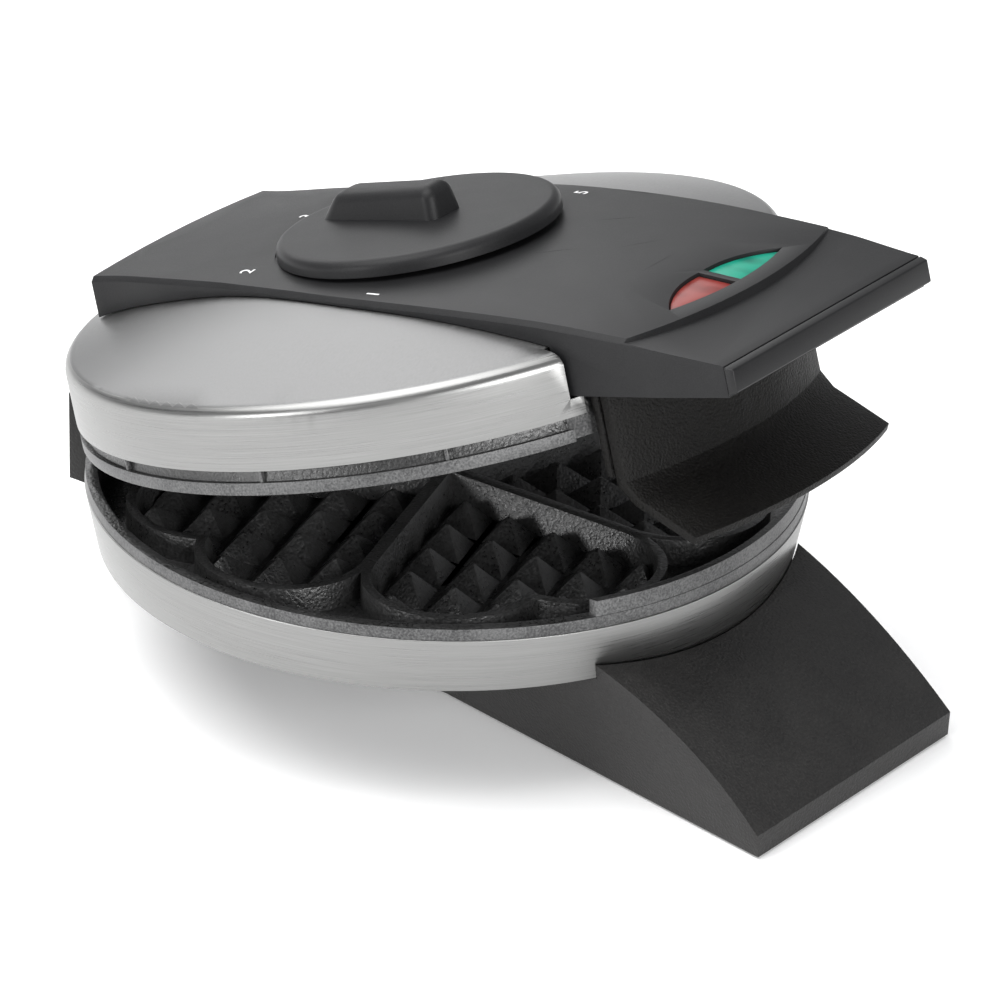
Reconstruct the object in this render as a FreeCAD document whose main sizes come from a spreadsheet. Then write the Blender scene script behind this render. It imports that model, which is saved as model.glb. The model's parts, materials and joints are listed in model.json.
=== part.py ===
import FreeCAD, Part
import math
import os
import re

from FreeCAD import Matrix, Placement, Rotation, Vector

# Heart waffle maker: a base with a heart-patterned plate, and a hinged lid with the second plate.
# Axes: +Z up, -Y towards the user (handle side), X along the hinge. Every piece is first drawn with
# the lid closed and the round body's axis on Z, then moved to its resting place.

os.makedirs("parts", exist_ok=True)
doc = FreeCAD.newDocument("HeartWaffleMaker")
sheet = doc.addObject("Spreadsheet::Sheet", "Sizes")

# Driving dimensions in millimetres (angles in degrees).
DIMENSIONS = {
    "lid_open": 15.0,            # how far the lid stands open at rest
    "axis_shift": 13.15,         # round body's axis, forward offset taken out of the bounding box
    "shell_radius": 100.0,       # steel bands of base and lid
    "shell_wall": 0.8,
    "base_top": 53.5,            # upper edge of the base's steel band
    "base_low": 37.0,            # lower edge of the base's steel band
    "base_low_radius": 96.7,
    "rim_top": 57.0,             # parting plane of the plates
    "plate_gap": 0.4,
    "rim_radius": 99.7,
    "rim_height": 3.4,
    "moat_radius": 96.4,
    "moat_depth": 8.6,
    "plate_depth": 13.5,
    "guard_height": 4.6,         # raised rim segment under the handle
    "guard_half": 48.0,
    "heart_reach": 88.5,         # largest radius of a heart's hollow
    "lobe_radius": 21.7,
    "lobe_along": 64.5,
    "lobe_across": 17.3,
    "heart_floor": 9.8,
    "heart_wall": 3.0,
    "wall_drop": 1.0,            # heart walls stay this far below the parting plane
    "cell_pitch": 15.0,
    "cell_height": 6.6,
    "hinge_back": 105.0,
    "hinge_height": 57.5,
    "pin_radius": 2.5,
    "lid_low": 64.2,             # lower edge of the lid's steel band
    "lid_shoulder": 78.2,
    "dome_edge": 97.0,
    "dome_edge_height": 82.3,
    "dome_top": 96.9,
    "handle_front": 139.6,
    "handle_low": 69.5,
    "grip_radius": 105.8,
    "grip_half": 44.5,
    "grip_wall": 2.2,
    "foot_front": 139.5,
    "foot_lip": 7.4,
    "foot_ground": 0.8,
    "knob_radius": 39.7,
    "knob_back": -3.6,
    "knob_low": 97.7,
    "knob_high": 102.0,
    "knob_gap": 0.5,
    "heater_radius": 62.0,
    "heater_tube": 3.3,
    "screw_radius": 1.75,
    "bore_play": 0.05,
}
for row, (alias, value) in enumerate(DIMENSIONS.items(), start=1):
    sheet.set(f"A{row}", alias)
    sheet.set(f"B{row}", str(value))
    sheet.setAlias(f"B{row}", alias)
doc.recompute()


def size(expression):
    """Value of an expression that names cells of the sheet."""
    return float(sheet.evalExpression(linked(expression)))


def linked(expression):
    """The same expression with every cell name pointing at the sheet."""
    return re.sub(r"\b([a-z]+(?:_[a-z]+)*)\b", lambda m: "Sizes." + m[1] if m[1] in DIMENSIONS else m[1], expression)


nodes = {}                       # name of the sub-part -> (document object, body it belongs to)


def keep(label, piece, body):
    """Give a finished document object its label and its rigid body."""
    piece.Label = label
    nodes[label] = (piece, body)
    return piece


def shaped(label, shape, body):
    """A sub-part whose shape comes from Part's own functions."""
    piece = doc.addObject("Part::Feature", label)
    piece.Shape = shape.removeSplitter()
    return keep(label, piece, body)


def origin_plane(body, role):
    return [f for f in body.Origin.OriginFeatures if f.Role == role][0]


def turned(label, profile, body_name=None):
    """A PartDesign body turned about Z from (radius, height) corners, each given as an expression."""
    body = doc.addObject("PartDesign::Body", label)
    sketch = body.newObject("Sketcher::SketchObject", label + "_profile")
    sketch.AttachmentSupport = [(origin_plane(body, "XZ_Plane"), "")]
    sketch.MapMode = "FlatFace"
    corners = [Vector(size(r), size(z), 0) for r, z in profile]
    count = len(corners)
    import Sketcher
    for i in range(count):
        sketch.addGeometry(Part.LineSegment(corners[i], corners[(i + 1) % count]))
    for i in range(count):
        sketch.addConstraint(Sketcher.Constraint("Coincident", i, 2, (i + 1) % count, 1))
    for i, (radius, height) in enumerate(profile):
        if radius == "0":
            sketch.addConstraint(Sketcher.Constraint("PointOnObject", i, 1, -2))
        else:
            dim = sketch.addConstraint(Sketcher.Constraint("DistanceX", -1, 1, i, 1, corners[i].x))
            sketch.setExpression(f"Constraints[{dim}]", linked(radius))
        dim = sketch.addConstraint(Sketcher.Constraint("DistanceY", -1, 1, i, 1, corners[i].y))
        sketch.setExpression(f"Constraints[{dim}]", linked(height))
    turn = body.newObject("PartDesign::Revolution", label + "_turn")
    turn.Profile = sketch
    turn.ReferenceAxis = (sketch, ["V_Axis"])
    turn.Angle = 360
    doc.recompute()
    return keep(label, body, body_name) if body_name else body


def solid_of(parametric):
    """Shape of a document object that only serves as a tool for another one."""
    doc.recompute()
    return parametric.Shape.copy()


def box(x0, x1, y0, y1, z0, z1):
    return Part.makeBox(x1 - x0, y1 - y0, z1 - z0, Vector(x0, y0, z0))


def rod(radius, start, end):
    start, end = Vector(*start), Vector(*end)
    return Part.makeCylinder(radius, (end - start).Length, start, end - start)


def prism(points, z0, z1):
    """Upright prism over a closed outline of (x, y) points."""
    wire = Part.makePolygon([Vector(x, y, z0) for x, y in points] + [Vector(*points[0], z0)])
    return Part.Face(wire).extrude(Vector(0, 0, z1 - z0))


def side_prism(points, half):
    """Prism along X over a closed outline of (y, z) points."""
    wire = Part.makePolygon([Vector(-half, y, z) for y, z in points] + [Vector(-half, *points[0])])
    return Part.Face(wire).extrude(Vector(2 * half, 0, 0))


def revolved(edges):
    """Solid turned about Z from the edges of a closed profile in the XZ plane."""
    return Part.Face(Part.Wire(edges)).revolve(Vector(0, 0, 0), Vector(0, 0, 1), 360)


def line(a, b):
    return Part.makeLine(Vector(a[0], 0, a[1]), Vector(b[0], 0, b[1]))


def arc(a, b, c):
    return Part.Arc(Vector(a[0], 0, a[1]), Vector(b[0], 0, b[1]), Vector(c[0], 0, c[1])).toShape()


def ring(inner, outer, z0, z1):
    return rod(outer, (0, 0, z0), (0, 0, z1)).cut(rod(inner, (0, 0, z0 - 1), (0, 0, z1 + 1)))


def mirrored_x(points):
    return [(s * x, y) for x, y in points for s in (1, -1)]


def screws(label, places, head, under, tip, body, head_radius=3.4):
    """Pan-head screws: separate solids with heads between under and head, shanks down (or up) to tip."""
    slot_floor = head - math.copysign(0.8, head - under)
    solids = []
    for x, y in places:
        top = rod(head_radius, (x, y, under), (x, y, head))
        shank = rod(size("screw_radius"), (x, y, tip), (x, y, under))
        slot = box(x - head_radius, x + head_radius, y - 0.45, y + 0.45, *sorted((head, slot_floor)))
        solids.append(top.fuse(shank).cut(slot).removeSplitter())
    return shaped(label, Part.makeCompound(solids), body)



# ---------------------------------------------------------------- heart pattern shared by both plates
def heart_outline(offset, z):
    """Closed wire of one heart pointing along +X, its outline moved outwards by offset."""
    along, across = size("lobe_along"), size("lobe_across")
    radius = size("lobe_radius") + offset
    half_angle = math.radians(36)
    nx, ny = math.sin(half_angle), -math.cos(half_angle)
    touch = Vector(along - radius * nx, across - radius * ny, z)
    distance = along * nx + across * ny - radius
    tip = Vector(distance / nx, 0, z)
    cusp = Vector(along + math.sqrt(radius ** 2 - across ** 2), 0, z)
    middle_angle = math.atan2(across, along) + 0.25
    middle = Vector(along + radius * math.cos(middle_angle), across + radius * math.sin(middle_angle), z)

    def flip(point):
        return Vector(point.x, -point.y, point.z)

    edges = [Part.makeLine(tip, touch), Part.Arc(touch, middle, cusp).toShape(),
             Part.Arc(cusp, flip(middle), flip(touch)).toShape(), Part.makeLine(flip(touch), tip)]
    return Part.Wire(edges)


def pyramid(x, y, low, high):
    """Blunt rhombic pyramid whose rows run along the heart's two straight sides."""
    half = size("cell_pitch") * 0.5 - 0.55
    cos_side, sin_side = math.cos(math.radians(36)), math.sin(math.radians(36))

    def rhombus(reach, z):
        corners = [(2 * reach * cos_side, 0), (0, 2 * reach * sin_side), (-2 * reach * cos_side, 0), (0, -2 * reach * sin_side)]
        points = [Vector(x + dx, y + dy, z) for dx, dy in corners]
        return Part.makePolygon(points + [points[0]])

    return Part.makeLoft([rhombus(half, low), rhombus(0.45, high)], True, True)


def heart_cells():
    """All pyramids of one heart, cut to the hollow's outline."""
    floor = -size("heart_floor")
    pitch = size("cell_pitch")
    cos_side, sin_side = math.cos(math.radians(36)), math.sin(math.radians(36))
    hollow = Part.Face(heart_outline(-1.9, floor - 0.5)).extrude(Vector(0, 0, 12))
    cells = []
    for i in range(6):
        for j in range(6):
            u, v = (i + 0.75) * pitch, (j + 0.75) * pitch
            x, y = (u + v) * cos_side, (u - v) * sin_side
            cell = pyramid(x, y, floor - 0.3, floor + size("cell_height")).common(hollow)
            if cell.Volume > 20:
                cells += cell.Solids
    return Part.makeCompound(cells)


def plate_pattern(plate):
    """Add the heart walls to a blank plate, sink the five hollows and stand the pyramids in them."""
    top, floor = -size("wall_drop"), -size("heart_floor")
    wall = Part.Face(heart_outline(size("heart_wall"), -size("moat_depth") - 0.4)).extrude(
        Vector(0, 0, size("moat_depth") + 0.4 + top))
    hollow = Part.makeLoft([heart_outline(-1.6, floor), heart_outline(0.35, top + 0.01)], True, True)
    over = Part.Face(heart_outline(0.35, top)).extrude(Vector(0, 0, 3))
    cells = heart_cells()
    walls, hollows, studs = [], [], []
    for k in range(5):
        turn = Placement(Vector(), Rotation(Vector(0, 0, 1), 90 + 72 * k))
        for shape, bin_ in ((wall, walls), (hollow, hollows), (over, hollows), (cells, studs)):
            copy = shape.copy()
            copy.Placement = turn
            bin_.append(copy)
    body = plate.multiFuse(walls)
    body = body.cut(hollows)
    solids = [s for group in studs for s in group.Solids]
    return body.multiFuse(solids).removeSplitter()


def blank_plate():
    """Round casting with rim, overflow channel and thick middle; parting plane at z = 0."""
    rim, moat = size("rim_radius"), size("moat_radius")
    shoulder, depth = -size("rim_height"), -size("plate_depth")
    points = [(0, depth), (90, depth), (92, -11), (96.9, -11), (98.2, shoulder), (rim, shoulder), (rim, 0),
              (moat, 0), (moat - 1, -size("moat_depth")), (0, -size("moat_depth"))]
    return revolved([line(points[i], points[(i + 1) % len(points)]) for i in range(len(points))])


pattern = plate_pattern(blank_plate())
BOLTS = mirrored_x([(40, 28), (40, -28)])
ARM_BOLTS = mirrored_x([(12, 84)])


def bossed(plate, far):
    """Four bolt bosses with blind bores on the back of a plate."""
    depth = -size("plate_depth")
    bore = size("screw_radius") + size("bore_play")
    bosses = [rod(4.2, (x, y, far), (x, y, depth + 0.5)) for x, y in BOLTS]
    bores = [rod(bore, (x, y, far - 1), (x, y, depth + 2.2)) for x, y in BOLTS]
    return plate.multiFuse(bosses).cut(bores)


def make_lower_plate():
    guard = ring(97.4, 99.5, -1, size("guard_height"))
    half = size("guard_half")
    guard = guard.common(box(-half, half, -110, 0, -2, 20))
    plate = bossed(pattern, -22.0).fuse(guard)
    plate.translate(Vector(0, 0, size("rim_top")))
    shaped("lower_plate", plate, "base")


def make_upper_plate():
    notch = size("guard_half") + 1.2
    recess = ring(97.1, 101, -5.4, 1).common(box(-notch, notch, -110, 0, -6, 2))
    plate = bossed(pattern, -22.0).cut(recess)
    arm_bores = [rod(1.8, (x, y, -size("plate_depth") - 1), (x, y, -11.3)) for x, y in ARM_BOLTS]
    plate = plate.cut(arm_bores).mirror(Vector(0, 0, 0), Vector(0, 0, 1))
    plate.translate(Vector(0, 0, size("rim_top + plate_gap")))
    shaped("upper_plate", plate, "lid")


# ---------------------------------------------------------------- base
def make_base_shell():
    turned("lower_shell", [
        ("91", "base_low"), ("base_low_radius", "base_low"), ("shell_radius", "base_top"),
        ("98.7", "base_top"), ("98.7", "base_top - shell_wall"), ("shell_radius - 0.95", "base_top - shell_wall"),
        ("base_low_radius - 0.65", "base_low + shell_wall"), ("91", "base_low + shell_wall")], "base")


def make_base_pan():
    pan = solid_of(turned("pan_blank", [
        ("0", "20.4"), ("60", "20.4"), ("90", "34.6"), ("90", "base_low + shell_wall"),
        ("95", "base_low + shell_wall"), ("95", "base_low + 2.6"), ("88", "base_low + 2.6"),
        ("88", "35.6"), ("59.2", "22.4"), ("0", "22.4")]))
    bore = size("screw_radius") + size("bore_play")
    holes = [rod(bore, (x, y, 19), (x, y, 24)) for x, y in BOLTS + STAND_BOLTS]
    wire_hole = rod(4, (0, 62, 18), (0, 62, 30))
    shaped("base_pan", pan.cut(holes + [wire_hole]), "base")


STAND_BOLTS = mirrored_x([(9, 44), (9, -44)])
HOUSING_BOLTS = mirrored_x([(13, 96.6)])
PADS = [(33, -126), (-33, -126), (15, 91), (-15, 91)]


def crest(inset):
    """Side outline of the stand: the front foot's long arc, a flat back and the rear foot."""
    front, lip, ground = size("foot_front"), size("foot_lip"), size("foot_ground")
    start = Vector(0, -front + inset, lip - inset * 0.6)
    middle = Vector(0, -112, 28.9 - inset)
    end = Vector(0, -85, 42.0 - inset)
    arc_edge = Part.Arc(start, middle, end).toShape()
    low = ground - (2 if inset else 0)
    corners = [end, Vector(0, -70, 47), Vector(0, 60, 47), Vector(0, 90, 32.4 - inset), Vector(0, 101 - inset, 32.4 - inset),
               Vector(0, 101 - inset, low), Vector(0, -front + inset, low), start]
    edges = [arc_edge] + [Part.makeLine(corners[i], corners[i + 1]) for i in range(len(corners) - 1)]
    return Part.Face(Part.Wire(edges)).extrude(Vector(110, 0, 0)).translated(Vector(-55, 0, 0))


def stand_solid(inset):
    """Stand body: its side outline within a plan that narrows to a waist and leans outwards upwards."""
    def plan(front_half, waist, rear_half, z):
        points = [(-front_half, -141), (front_half, -141), (waist, -18), (waist, 18), (rear_half, 106),
                  (-rear_half, 106), (-waist, 18), (-waist, -18)]
        return Part.makePolygon([Vector(x, y, z) for x, y in points] + [Vector(*points[0], z)])

    low = plan(44.4 - inset, 21 - inset, 24.6 - inset, -3)
    high = plan(49.5 - inset, 47 - inset, 24.6 - inset, 48)
    block = Part.makeLoft([low, high], True, True)
    seat = [(0, 20.4 - inset), (60, 20.4 - inset), (90.4 + inset, 34.4 - inset), (90.4 + inset, 36.8 - inset), (97.0, 36.8 - inset),
            (100.5 + inset, 53.5), (100.5 + inset, 80), (0, 80)]
    above = revolved([line(seat[i], seat[(i + 1) % len(seat)]) for i in range(len(seat))])
    return crest(inset).common(block).cut(above)


def make_stand():
    outer = stand_solid(0)
    hollow = stand_solid(2.6)
    bore = size("screw_radius") + size("bore_play")
    ground = size("foot_ground")
    posts = [rod(8, (x, y, ground), (x, y, 40)) for x, y in PADS]
    posts += [rod(4.5, (x, y, ground + 3), (x, y, 20.4)) for x, y in STAND_BOLTS]
    posts += [rod(4.0, (x, y, 12), (x, y, 33)) for x, y in HOUSING_BOLTS]
    posts = Part.makeCompound(posts).common(outer)
    pockets = [rod(6.1, (x, y, ground - 1), (x, y, 3.5)) for x, y in PADS]
    bores = [rod(bore, (x, y, 8), (x, y, 21)) for x, y in STAND_BOLTS]
    rear_bores = [rod(bore, (x, y, 20), (x, y, 34)) for x, y in HOUSING_BOLTS]
    stand = outer.cut(hollow).fuse(posts.Solids).cut(pockets + bores + rear_bores)
    shaped("base_stand", stand, "base")
    pads = [rod(6, (x, y, 0), (x, y, 3.5)) for x, y in PADS]
    shaped("rubber_feet", Part.makeCompound(pads), "base")


def make_hinge_housing():
    back, height, pin = size("hinge_back"), size("hinge_height"), size("pin_radius")
    block = box(-38, 38, 90, 112, 34.7, 51.5).common(rod(111, (0, 0, 31), (0, 0, 60)))
    block = block.cut(rod(100.5, (0, 0, 30), (0, 0, 60)))
    for side in (-1, 1):
        x0, x1 = sorted((side * 20.2, side * 29.5))
        ear = box(x0, x1, 100.6, 109.7, 50, height + 6.4)
        ear = ear.makeFillet(3.2, [e for e in ear.Edges if e.BoundBox.ZMin > height and e.BoundBox.XLength > 5])
        x0, x1 = sorted((side * 29.4, side * 38))
        post = box(x0, x1, 90, 112, 50, height + 3.5).common(ring(101.4, 111, 40, 70))
        block = block.multiFuse([ear, post])
    block = block.multiFuse([box(-20, 20, 93, 101.5, 32.6, 35.2), box(-20, 20, 99.6, 106, 32.6, 37.2)])
    chamber = box(-26, 26, 90, 112, 37.2, 49.5).common(rod(108.8, (0, 0, 31), (0, 0, 60)))
    chamber = chamber.cut(rod(102.6, (0, 0, 30), (0, 0, 60)))
    wire_way = rod(3, (0, 98, 42), (0, 105, 42))
    inlet = rod(4.2, (14, 104, 41), (14, 113, 41))
    pins = [rod(pin + 0.03, (s * 19, back, height), (s * 29.8, back, height)) for s in (-1, 1)]
    foot_bores = [rod(1.8, (x, y, 30), (x, y, 36)) for x, y in HOUSING_BOLTS]
    shaped("hinge_housing", block.cut([chamber, wire_way, inlet] + pins + foot_bores), "base")
    hinge_pins = [rod(pin, (s * 14, back, height), (s * 29.2, back, height)) for s in (-1, 1)]
    shaped("hinge_pins", Part.makeCompound(hinge_pins), "base")
    gland = rod(4.1, (14, 106.2, 41), (14, 111.6, 41)).fuse(rod(6.2, (14, 111.0, 41), (14, 113.2, 41)))
    gland = gland.cut(rod(3.1, (14, 104, 41), (14, 114, 41)))
    gland = gland.cut(rod(111.05, (0, 0, 30), (0, 0, 60)).cut(rod(4.15, (14, 100, 41), (14, 114, 41))))
    shaped("cord_gland", gland, "base")
    terminals = box(-12, 4, 103.2, 107.6, 38.0, 47.0)
    terminal_ways = [rod(1.3, (x, 102, 42.5), (x, 109, 42.5)) for x in (-9, -4, 1)]
    shaped("terminal_block", terminals.cut(terminal_ways), "base")


def heater(low, leg_end):
    """Open ring of tubular heater with two legs that leave it at right angles."""
    radius, tube = size("heater_radius"), size("heater_tube")
    loop = Part.makeTorus(radius, tube, Vector(0, 0, low), Vector(0, 0, 1), -180, 180, 334)
    loop.rotate(Vector(0, 0, 0), Vector(0, 0, 1), 103)
    legs = []
    for angle in (77, 103):
        foot = Vector(radius * math.cos(math.radians(angle)), radius * math.sin(math.radians(angle)), low)
        legs.append(Part.makeSphere(tube, foot))
        legs.append(rod(tube, foot, (foot.x, foot.y, leg_end)))
        legs.append(rod(1.2, (foot.x, foot.y, leg_end), (foot.x, foot.y, leg_end + math.copysign(3, leg_end - low))))
    return loop.multiFuse(legs)


def make_heaters():
    gap = size("heater_tube + 0.1")
    below = size("rim_top - plate_depth") - gap
    shaped("lower_heater", heater(below, below - 6), "base")
    above = size("rim_top + plate_gap + plate_depth") + gap
    shaped("upper_heater", heater(above, above + 5), "lid")


def reflector(z, turn_up, bolts_far):
    """Thin dished sheet behind a heater, with holes for the bolt bosses and the heater's legs."""
    step = turn_up
    points = [(0, z), (68, z), (71, z + step), (71, z + step + 0.6), (67.6, z + 0.6), (0, z + 0.6)]
    sheet_metal = revolved([line(points[i], points[(i + 1) % len(points)]) for i in range(len(points))])
    radius = size("heater_radius")
    holes = [rod(4.6, (x, y, z - 5), (x, y, z + 8)) for x, y in BOLTS]
    for angle in (77, 103):
        x, y = radius * math.cos(math.radians(angle)), radius * math.sin(math.radians(angle))
        holes.append(rod(4.4, (x, y, z - 5), (x, y, z + 8)))
    return sheet_metal.cut(holes)


def make_base_small_parts():
    shaped("lower_reflector", reflector(35.6, 2.5, 30), "base")
    screws("lower_plate_screws", BOLTS, 18.2, 20.4, 42.5, "base")
    screws("stand_screws", STAND_BOLTS, 24.4, 22.4, 9.0, "base", 3.0)
    screws("housing_screws", HOUSING_BOLTS, 36.7, 35.2, 22.0, "base", 3.0)


# ---------------------------------------------------------------- lid
def dome_radius():
    edge, rise = size("dome_edge"), size("dome_top - dome_edge_height")
    return (edge ** 2 + rise ** 2) / (2 * rise)


def dome(offset, low):
    """Solid of the lid's outer skin moved outwards by offset: wall, rolled shoulder and shallow dome."""
    wall = size("shell_radius") + offset
    radius = dome_radius() + offset
    centre = size("dome_top") + offset - radius
    edge = size("dome_edge") + offset * 0.6
    start = (wall, size("lid_shoulder"))
    end = (edge, centre + math.sqrt(radius ** 2 - edge ** 2))
    knee = ((start[0] + end[0]) / 2 + 0.68, (start[1] + end[1]) / 2 + 0.52)
    crown = (edge / 2, centre + math.sqrt(radius ** 2 - edge ** 2 / 4))
    top = (0, centre + radius)
    edges = [line((0, low), (wall, low)), line((wall, low), start), arc(start, knee, end), arc(end, crown, top),
             line(top, (0, low))]
    return revolved(edges)


def make_lid_shell():
    low = size("lid_low")
    shell = dome(0, low).cut(dome(-size("shell_wall"), low - 1))
    front = box(-48.9, 48.9, -104, -81.6, size("handle_low") - 0.4, 100)
    throat = box(-45.5, 45.5, -104, -82.5, low - 1, 72)
    hinge_notch = box(-21, 21, 80, 104, low - 1, 75.8)
    window = box(-32, 32, -66, 56, 84, 100)
    shaped("lid_shell", shell.cut([front, throat, hinge_notch, window]), "lid")


def section(half, low, edge_top, crown, y, chamfer=1.3):
    """Cross-section of the bridge at one y: flat bottom, upright sides, small chamfers, crowned top."""
    points = [Vector(-half, y, low), Vector(-half, y, edge_top - chamfer), Vector(-half + chamfer, y, edge_top)]
    right = [Vector(-p.x, p.y, p.z) for p in reversed(points)]
    top = Part.Arc(points[2], Vector(0, y, edge_top + crown), right[0]).toShape()
    edges = [Part.makeLine(points[0], points[1]), Part.makeLine(points[1], points[2]), top,
             Part.makeLine(right[0], right[1]), Part.makeLine(right[1], right[2]), Part.makeLine(right[2], points[0])]
    return Part.Wire(edges)


# Stations of the bridge: y, half width, height of the top edge, crown at the middle.
BRIDGE = [(85.0, 38.6, 95.4, 1.2), (60.0, 40.2, 96.0, 1.8), (35.0, 42.6, 96.1, 2.2), (10.0, 46.2, 95.9, 2.4),
          (-12.0, 49.0, 95.3, 2.4), (-35.0, 49.6, 94.0, 2.2), (-60.0, 49.0, 91.9, 2.0), (-85.0, 47.6, 88.9, 1.6),
          (-105.0, 46.8, 85.7, 1.2), (-120.0, 45.9, 83.2, 1.0), (-137.0, 44.4, 80.2, 1.0)]


def bridge_block(inset, low):
    """Bridge loft, shrunk by inset on its sides and top."""
    wires = [section(w - inset, low, z - inset, c, y) for y, w, z, c in BRIDGE]
    return Part.makeLoft(wires, True, False)


def handle_plane(inset):
    """Everything above the handle's flat top, in front of the curved crease."""
    top = side_prism([(-90, 88.1 - inset), (-141, 77.2 - inset), (-141, 120), (-90, 120)], 60)
    return top.cut(rod(122 + inset, (0, 6, 60), (0, 6, 130)))


def make_bridge():
    low = size("handle_low")
    front = size("handle_front") - 2.9
    outer = bridge_block(0, low).cut(handle_plane(0))
    outer = outer.cut(dome(0.3, 40).common(box(-110, 110, -82.6, 110, 30, 120)))
    trim = box(-60, 60, -150, -front, 60, 110)
    hollow = bridge_block(2.6, low - 2).cut(handle_plane(2.6)).common(box(-60, 60, -front + 2.4, 82.2, 50, 110))
    windows = lens_prism(-1, 0, 70, 100).fuse(lens_prism(1, 0, 70, 100))
    shaft_hole = rod(5.5, (0, size("knob_back"), 90), (0, size("knob_back"), 104))
    seat = rod(size("knob_radius") + 0.7, (0, size("knob_back"), size("knob_low - knob_gap")),
               (0, size("knob_back"), 110))
    shaped("bridge_cover", outer.cut([trim, hollow, windows, shaft_hole, seat]), "lid")


def lens_prism(side, inset, z0, z1):
    """One half of the sliver-shaped window: straight inner end, curved back edge, gently curved front."""
    tip, inner, back, front = 25.5 - inset * 2, 1.1 + inset, -98.6 - inset * 0.7, -110.6 + inset * 0.7
    edges = [Part.makeLine(Vector(inner, front, z0), Vector(inner, back, z0)),
             Part.Arc(Vector(inner, back, z0), Vector(15, back - 1.9, z0), Vector(tip, -106.6, z0)).toShape(),
             Part.Arc(Vector(tip, -106.6, z0), Vector(13, front + 1.0, z0), Vector(inner, front, z0)).toShape()]
    shape = Part.Face(Part.Wire(edges)).extrude(Vector(0, 0, z1 - z0))
    return shape if side > 0 else shape.mirror(Vector(0, 0, 0), Vector(1, 0, 0))


def make_lenses():
    skin = bridge_block(0.9, 60).cut(bridge_block(2.5, 50))
    for side, colour in ((-1, "red_lens"), (1, "green_lens")):
        lens = lens_prism(side, 0.25, 70, 100).common(skin)
        shaped(colour, lens, "lid")


def make_end_cap():
    back, front = size("handle_front") - 2.6, size("handle_front")

    def frame(y, half, low, high):
        points = [Vector(-half, y, low), Vector(half, y, low), Vector(half, y, high), Vector(-half, y, high)]
        return Part.makePolygon(points + [points[0]])

    cap = Part.makeLoft([frame(-back, 44.9, 70.0, 78.0), frame(-front, 44.3, 71.0, 77.2)], True, True)
    shaped("handle_end_cap", cap, "lid")


def make_handle_underside():
    low = size("handle_low")
    plate = bridge_block(2.9, low).common(box(-60, 60, -size("handle_front") + 5.6, -84.5, low, low + 2.2))
    outer = size("grip_radius")
    slot = ring(outer - size("grip_wall") - 0.2, outer + 0.2, low - 1, low + 4).common(box(-40.3, 40.3, -130, -60, 60, 80))
    clear = rod(97.8, (0, 0, low - 1), (0, 0, low + 4))
    plate = plate.cut([slot, clear] + [rod(1.85, (x, y, 60), (x, y, 75)) for x, y in HANDLE_BOLTS])
    shaped("handle_underside", plate, "lid")


HANDLE_BOLTS = mirrored_x([(30, -105.6)])


def make_grip():
    outer, wall, low = size("grip_radius"), size("grip_wall"), size("handle_low")
    points = [(outer - wall, low), (outer, low), (outer + 0.4, 44.5), (109.4, 39.9), (124.6, 29.9), (123.6, 27.9),
              (108.0, 38.0), (outer - wall, 43.2)]
    blank = solid_of(turned("grip_blank", [(str(r), str(z)) for r, z in points]))
    half = size("grip_half")
    front = box(-half, half, -140, -60, 20, low)
    tongues = ring(outer - wall, outer, low - 0.1, low + 4.6).fuse(ring(outer - 1, 113, low + 2.4, low + 4.6))
    sides = box(-40, -19, -140, -60, 60, 80).fuse(box(19, 40, -140, -60, 60, 80))
    ways = [rod(1.85, (x, y, 60), (x, y, 80)) for x, y in HANDLE_BOLTS]
    shaped("lid_grip", blank.common(front).fuse(tongues.common(sides)).cut(ways), "lid")
    shield = ring(100.7, 102.4, 45.6, low - 0.05).common(box(-half, half, -140, -60, 20, 80))
    shaped("grip_heat_shield", shield, "lid")


def make_hinge_arm():
    back, height, pin = size("hinge_back"), size("hinge_height"), size("pin_radius")
    barrel = rod(4.4, (-19.4, back, height), (19.4, back, height))
    upright = box(-19.4, 19.4, 100.7, 107.4, height, 75).cut(rod(size("rim_radius") + 0.6, (0, 0, 50), (0, 0, 71.1)))
    web = box(-19.4, 19.4, 78, 107.4, 71.2, 75)
    arm = barrel.fuse([upright, web])
    ways = [rod(pin + 0.06, (-20, back, height), (20, back, height))]
    ways += [rod(1.85, (x, y, 70), (x, y, 76)) for x, y in ARM_BOLTS]
    shaped("hinge_arm", arm.cut(ways), "lid")
    screws("arm_screws", ARM_BOLTS, 77.0, 75.0, 69.2, "lid", 3.0)


def make_lid_small_parts():
    shaped("lid_reflector", reflector(78.2, 0.8, 30), "lid")
    screws("upper_plate_screws", BOLTS, 81.6, 79.4, 72.4, "lid", 3.4)
    screws("handle_screws", HANDLE_BOLTS, 76.0, 74.1, 70.0, "lid", 2.9)
    back = size("knob_back")
    case = box(-15, 15, back - 13, back + 13, 84.5, 94.6)
    shaft_way = rod(3.4, (0, back, 84), (0, back, 96))
    shaped("thermostat", case.cut(shaft_way), "lid")
    fuse_case = rod(2.2, (-24, 22, 82.2), (-24, 40, 82.2)).fuse(rod(0.5, (-24, 18, 82.2), (-24, 44, 82.2)))
    shaped("thermal_fuse", fuse_case, "lid")
    lamps = [rod(2.6, (x, -103.5, 74.0), (x, -103.5, 80.0)).fuse(Part.makeSphere(2.6, Vector(x, -103.5, 80.0)))
             for x in (-9, 9)]
    shaped("indicator_lamps", Part.makeCompound(lamps), "lid")
    holder = box(-15, 15, -108.5, -98.5, 71.8, 74.0)
    shaped("lamp_holder", holder, "lid")


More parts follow.
